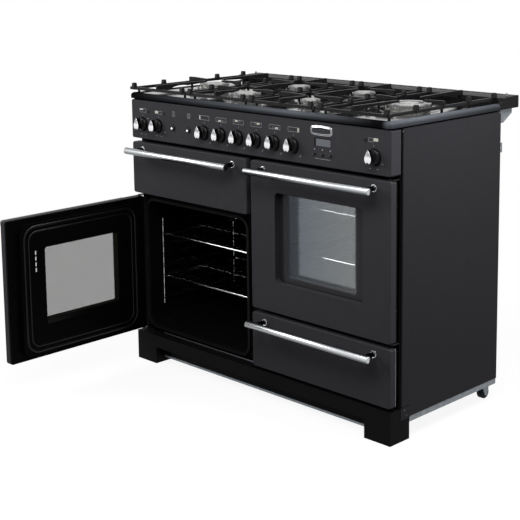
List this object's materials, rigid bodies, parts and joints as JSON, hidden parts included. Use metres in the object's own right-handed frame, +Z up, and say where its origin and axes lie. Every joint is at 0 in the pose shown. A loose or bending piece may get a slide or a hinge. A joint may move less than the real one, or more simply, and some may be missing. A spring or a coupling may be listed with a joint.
{
  "type": "range cooker with double oven",
  "caption": "Freestanding range cooker with side-hung oven doors, a drop-down grill door, a storage drawer, a gas hob with cast supports and a row of knobs.",
  "frame": {"origin": "on the floor, mid-width, in the plane of the closed doors' outer faces", "axes": "+X to the right of someone facing the front, +Y towards the wall, +Z up"},
  "size_m": [1.164, 1.105, 0.935],
  "materials": {
    "anthracite_enamel": "satin graphite enamel",
    "black_enamel": "glossy black enamel",
    "oven_enamel": "semi-gloss black vitreous enamel",
    "cast_iron_support": "matt black enamelled cast iron",
    "burner_cap": "matt black enamelled cap",
    "burner_alloy": "bead-blasted cast alloy",
    "galvanised_steel": "galvanised, faint spangle",
    "handle_steel": "brushed tube with polished ferrules",
    "wire_chrome": "bright plated wire",
    "grill_steel": "plain stainless sheet",
    "gas_brass": "machined brass",
    "door_glass": "grey tinted, reflective",
    "seal_braid": "woven glass-fibre braid",
    "knob_black": "glossy black, with a chromed face",
    "button_chrome": "polished, with a black centre",
    "control_module": "dark tinted clock window, clear lamp lenses",
    "screw_black": "blackened steel",
    "roller_rubber": "moulded black"
  },
  "bodies": {
    "cabinet": {"side_panel_left": "anthracite_enamel", "side_panel_right": "anthracite_enamel", "back_panel": "galvanised_steel", "base_chassis": "galvanised_steel", "front_frame": "black_enamel", "plinth": "black_enamel", "control_panel": "anthracite_enamel", "hob_deck": "black_enamel", "flue_trim": "black_enamel", "burner_bases": "burner_alloy", "burner_heads": "burner_alloy", "burner_caps": "burner_cap", "gas_manifold": "gas_brass", "left_oven_liner": "oven_enamel", "right_oven_liner": "oven_enamel", "grill_liner": "oven_enamel", "oven_seals": "seal_braid", "shelf_ladders": "wire_chrome", "right_oven_shelves": "wire_chrome", "fan_covers": "oven_enamel", "grill_burner": "grill_steel", "grill_pan": "oven_enamel", "control_modules": "control_module", "hinge_brackets": "galvanised_steel", "screws_and_studs": "screw_black"},
    "left_oven_door": {"left_door_panel": "anthracite_enamel", "left_door_inner": "black_enamel", "left_door_glass": "door_glass", "left_door_handle": "handle_steel"},
    "right_oven_door": {"right_door_panel": "anthracite_enamel", "right_door_inner": "black_enamel", "right_door_glass": "door_glass", "right_door_handle": "handle_steel"},
    "grill_door": {"grill_door_panel": "anthracite_enamel", "grill_door_handle": "handle_steel"},
    "storage_drawer": {"drawer_front": "anthracite_enamel", "drawer_box": "galvanised_steel", "drawer_handle": "handle_steel"},
    "control_knob_1": {"knob_1": "knob_black"},
    "control_knob_2": {"knob_2": "knob_black"},
    "control_knob_3": {"knob_3": "knob_black"},
    "control_knob_4": {"knob_4": "knob_black"},
    "control_knob_5": {"knob_5": "knob_black"},
    "control_knob_6": {"knob_6": "knob_black"},
    "control_knob_7": {"knob_7": "knob_black"},
    "control_knob_8": {"knob_8": "knob_black"},
    "control_knob_9": {"knob_9": "knob_black"},
    "push_1": {"push_button_1": "button_chrome"},
    "push_2": {"push_button_2": "button_chrome"},
    "clock_push_1": {"clock_button_1": "button_chrome"},
    "clock_push_2": {"clock_button_2": "button_chrome"},
    "clock_push_3": {"clock_button_3": "button_chrome"},
    "support_1": {"pan_support_1": "cast_iron_support"},
    "support_2": {"pan_support_2": "cast_iron_support"},
    "support_3": {"pan_support_3": "cast_iron_support"},
    "support_4": {"pan_support_4": "cast_iron_support"},
    "shelf_upper": {"oven_shelf_upper": "wire_chrome"},
    "shelf_lower": {"oven_shelf_lower": "wire_chrome"},
    "roller_left": {"rear_roller_left": "roller_rubber"},
    "roller_right": {"rear_roller_right": "roller_rubber"}
  },
  "joints": [
    {"name": "left_oven_door_hinge", "type": "hinge", "parent": "cabinet", "child": "left_oven_door", "pos_m": [-0.538, 0.016, 0.3315], "axis": [0, 0, -1], "range_deg": [-90, 0]},
    {"name": "right_oven_door_hinge", "type": "hinge", "parent": "cabinet", "child": "right_oven_door", "pos_m": [0.538, 0.016, 0.5155], "axis": [0, 0, 1], "range_deg": [0, 90]},
    {"name": "grill_door_hinge", "type": "hinge", "parent": "cabinet", "child": "grill_door", "pos_m": [-0.2775, 0.014, 0.577], "axis": [1, 0, 0], "range_deg": [0, 74], "stiffness_Nm_per_rad": 2, "springref_deg": -68.75},
    {"name": "drawer_slide", "type": "slide", "parent": "cabinet", "child": "storage_drawer", "axis": [0, -1, 0], "range_m": [0, 0.35]},
    {"name": "knob_1_turn", "type": "hinge", "parent": "cabinet", "child": "control_knob_1", "pos_m": [-0.489, -0.01, 0.804], "axis": [0, 1, 0], "range_deg": [0, 270]},
    {"name": "knob_2_turn", "type": "hinge", "parent": "cabinet", "child": "control_knob_2", "pos_m": [-0.414, -0.01, 0.804], "axis": [0, 1, 0], "range_deg": [0, 270]},
    {"name": "knob_3_turn", "type": "hinge", "parent": "cabinet", "child": "control_knob_3", "pos_m": [-0.194, -0.01, 0.804], "axis": [0, -1, 0], "range_deg": [0, 230]},
    {"name": "knob_4_turn", "type": "hinge", "parent": "cabinet", "child": "control_knob_4", "pos_m": [-0.118, -0.01, 0.804], "axis": [0, -1, 0], "range_deg": [0, 230]},
    {"name": "knob_5_turn", "type": "hinge", "parent": "cabinet", "child": "control_knob_5", "pos_m": [-0.042, -0.01, 0.804], "axis": [0, -1, 0], "range_deg": [0, 230]},
    {"name": "knob_6_turn", "type": "hinge", "parent": "cabinet", "child": "control_knob_6", "pos_m": [0.034, -0.01, 0.804], "axis": [0, -1, 0], "range_deg": [0, 230]},
    {"name": "knob_7_turn", "type": "hinge", "parent": "cabinet", "child": "control_knob_7", "pos_m": [0.11, -0.01, 0.804], "axis": [0, -1, 0], "range_deg": [0, 230]},
    {"name": "knob_8_turn", "type": "hinge", "parent": "cabinet", "child": "control_knob_8", "pos_m": [0.186, -0.01, 0.804], "axis": [0, -1, 0], "range_deg": [0, 230]},
    {"name": "knob_9_turn", "type": "hinge", "parent": "cabinet", "child": "control_knob_9", "pos_m": [0.4885, -0.01, 0.804], "axis": [0, 1, 0], "range_deg": [0, 270]},
    {"name": "push_button_1_press", "type": "slide", "parent": "cabinet", "child": "push_1", "axis": [0, 1, 0], "range_m": [0, 0.004], "stiffness_N_per_m": 300, "springref_m": -0.003},
    {"name": "push_button_2_press", "type": "slide", "parent": "cabinet", "child": "push_2", "axis": [0, 1, 0], "range_m": [0, 0.004], "stiffness_N_per_m": 300, "springref_m": -0.003},
    {"name": "clock_button_1_press", "type": "slide", "parent": "cabinet", "child": "clock_push_1", "axis": [0, 1, 0], "range_m": [0, 0.002], "stiffness_N_per_m": 200, "springref_m": -0.003},
    {"name": "clock_button_2_press", "type": "slide", "parent": "cabinet", "child": "clock_push_2", "axis": [0, 1, 0], "range_m": [0, 0.002], "stiffness_N_per_m": 200, "springref_m": -0.003},
    {"name": "clock_button_3_press", "type": "slide", "parent": "cabinet", "child": "clock_push_3", "axis": [0, 1, 0], "range_m": [0, 0.002], "stiffness_N_per_m": 200, "springref_m": -0.003},
    {"name": "support_1_lift", "type": "slide", "parent": "cabinet", "child": "support_1", "axis": [0, 0, 1], "range_m": [0, 0.06]},
    {"name": "support_2_lift", "type": "slide", "parent": "cabinet", "child": "support_2", "axis": [0, 0, 1], "range_m": [0, 0.06]},
    {"name": "support_3_lift", "type": "slide", "parent": "cabinet", "child": "support_3", "axis": [0, 0, 1], "range_m": [0, 0.06]},
    {"name": "support_4_lift", "type": "slide", "parent": "cabinet", "child": "support_4", "axis": [0, 0, 1], "range_m": [0, 0.06]},
    {"name": "upper_shelf_slide", "type": "slide", "parent": "cabinet", "child": "shelf_upper", "axis": [0, -1, 0], "range_m": [0, 0.3]},
    {"name": "lower_shelf_slide", "type": "slide", "parent": "cabinet", "child": "shelf_lower", "axis": [0, -1, 0], "range_m": [0, 0.3]},
    {"name": "roller_left_spin", "type": "hinge", "parent": "cabinet", "child": "roller_left", "pos_m": [-0.513, 0.484, 0.019], "axis": [1, 0, 0], "continuous": true},
    {"name": "roller_right_spin", "type": "hinge", "parent": "cabinet", "child": "roller_right", "pos_m": [0.513, 0.484, 0.019], "axis": [1, 0, 0], "continuous": true}
  ]
}
